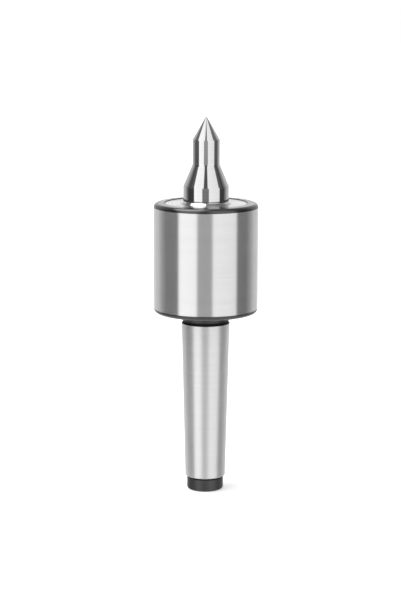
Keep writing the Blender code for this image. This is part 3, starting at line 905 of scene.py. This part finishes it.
# The gap's half width and middle in degrees, how far it narrows from the horizon to straight up, and the
# width of its soft edge on each side.
CENTRE_GAP = 15.8
CENTRE_MIDDLE = -2.4
CENTRE_LEAN = 7.0
CENTRE_SOFT = 2.0
# Spans of height, -1 to 1, over which one part of the studio gives way to the next.
PANELS_WIDEN = (0.42, 0.66)
FLAGS_START = (-0.124, -0.114)
NOTCH_START = (-0.146, -0.136)
FAR_START = (0.6, 0.85)
TOP_START = (0.86, 0.97)
FLOOR_START = (0.4, 0.65)
# Above PANELS_WIDEN the panels reach further round, and lean to one side.
WIDEN_SHARE = 0.175
WIDEN_SHIFT = 8.4
FAR_DEPTH = (0.1, 0.5)
FAR_CEILING = 0.25
NOTCH_LIGHT = 0.2
TOP_LIGHT = 0.35
FLOOR_GLOW = 0.95
# A small lamp overhead to the left, and the angles over which its edge fades.
LAMP_TOWARDS = Vector((-0.36, 0.01, 0.93)).normalized()
LAMP_LIGHT = 5.0
LAMP_EDGE = (23, 18)


def make_world():
    """The studio as light by direction; the camera itself sees plain white."""
    world = bpy.data.worlds.new("studio")
    bpy.context.scene.world = world
    world.use_nodes = True
    nodes = world.node_tree.nodes
    links = world.node_tree.links
    nodes.clear()

    def math(kind, a, b):
        return math_node(nodes, links, kind, a, b)

    def mixed(factor, a, b):
        node = nodes.new("ShaderNodeMix")
        links.new(factor, node.inputs["Factor"])
        feed(links, node.inputs["A"], a)
        feed(links, node.inputs["B"], b)
        return node.outputs["Result"]

    def smooth(value, low, high):
        """0 below low and 1 above high, with a soft step between them."""
        node = nodes.new("ShaderNodeMapRange")
        node.interpolation_type = "SMOOTHSTEP"
        node.inputs["From Min"].default_value = low
        node.inputs["From Max"].default_value = high
        links.new(value, node.inputs["Value"])
        return node.outputs["Result"]

    def ramp(value, stops, span):
        """Levels at places along a span whose middle is 0."""
        node = nodes.new("ShaderNodeValToRGB")
        node.color_ramp.interpolation = "LINEAR"
        elements = node.color_ramp.elements
        while len(elements) < len(stops):
            elements.new(0.5)
        for element, (place, _) in zip(elements, stops):
            element.position = place / span + 0.5
        for element, (_, level) in zip(elements, stops):
            element.color = (level / 2, level / 2, level / 2, 1.0)
        links.new(value, node.inputs["Fac"])
        return math("MULTIPLY", node.outputs["Color"], 2.0)

    split = nodes.new("ShaderNodeSeparateXYZ")
    direction = nodes.new("ShaderNodeTexCoord").outputs["Generated"]
    links.new(direction, split.inputs[0])
    x, y, z = split.outputs
    azimuth = math("ARCTAN2", x, math("MULTIPLY", y, -1.0))
    height = math("ADD", math("MULTIPLY", z, 0.5), 0.5)
    high = smooth(z, *PANELS_WIDEN)
    share = math("MULTIPLY", azimuth, math("SUBTRACT", 1.0, math("MULTIPLY", high, WIDEN_SHARE)))
    share = math("ADD", share, math("MULTIPLY", high, radians(WIDEN_SHIFT)))
    strips = ramp(math("ADD", math("DIVIDE", share, 2 * pi), 0.5), STRIPS, 360.0)
    flags = smooth(z, *FLAGS_START)
    strips = math("MAXIMUM", strips, math("MULTIPLY", ramp(height, FLAG_BY_HEIGHT, 2.0), flags))
    far = math("MULTIPLY", smooth(y, *FAR_DEPTH), smooth(z, *FAR_START))
    strips = mixed(far, strips, FAR_CEILING)

    offset = math("ABSOLUTE", math("SUBTRACT", azimuth, radians(CENTRE_MIDDLE)), 0.0)
    offset = math("ADD", offset, math("MULTIPLY", z, radians(CENTRE_LEAN)))
    outside = smooth(offset, radians(CENTRE_GAP - CENTRE_SOFT), radians(CENTRE_GAP + CENTRE_SOFT))
    notch = math("SUBTRACT", smooth(z, *NOTCH_START), flags)
    lit = mixed(outside, mixed(notch, ramp(height, GAP_BY_HEIGHT, 2.0), NOTCH_LIGHT), strips)
    lit = mixed(smooth(z, *TOP_START), lit, TOP_LIGHT)

    towards = nodes.new("ShaderNodeVectorMath")
    towards.operation = "DOT_PRODUCT"
    towards.inputs[1].default_value = LAMP_TOWARDS
    links.new(direction, towards.inputs[0])
    lamp = smooth(towards.outputs["Value"], *(cos(radians(edge)) for edge in LAMP_EDGE))
    lit = mixed(lamp, lit, LAMP_LIGHT)
    lit = mixed(smooth(math("MULTIPLY", z, -1.0), *FLOOR_START), lit, FLOOR_GLOW)
    seen = nodes.new("ShaderNodeLightPath").outputs["Is Camera Ray"]
    lit = mixed(seen, lit, 1.0)
    background = nodes.new("ShaderNodeBackground")
    links.new(lit, background.inputs["Strength"])
    output = nodes.new("ShaderNodeOutputWorld")
    links.new(background.outputs[0], output.inputs["Surface"])
    background.inputs["Color"].default_value = (1.0, 1.0, 1.0, 1.0)


# The camera: focal length over the picture's height, distance and aim in metres, angles in degrees.
SENSOR = 36.0
FOCAL_SHARE = 2016.0 / 601
DISTANCE = 1.010
ELEVATION = 10.4
AIM_Z = 0.0968
AIM_X = -0.0026
ROLL = 0.17


def make_camera():
    data = bpy.data.cameras.new("camera")
    data.lens = FOCAL_SHARE * SENSOR
    data.sensor_width = SENSOR
    data.clip_start = 0.05
    camera = bpy.data.objects.new("camera", data)
    bpy.context.scene.collection.objects.link(camera)
    tilt = radians(ELEVATION)
    place = Vector((AIM_X, -DISTANCE * cos(tilt), AIM_Z + DISTANCE * sin(tilt)))
    turn = Matrix.Rotation(pi / 2 - tilt, 4, "X") @ Matrix.Rotation(radians(ROLL), 4, "Z")
    camera.matrix_world = Matrix.Translation(place) @ turn
    bpy.context.scene.camera = camera


make_floor()
make_world()
make_camera()
bpy.context.scene.view_settings.view_transform = "Standard"
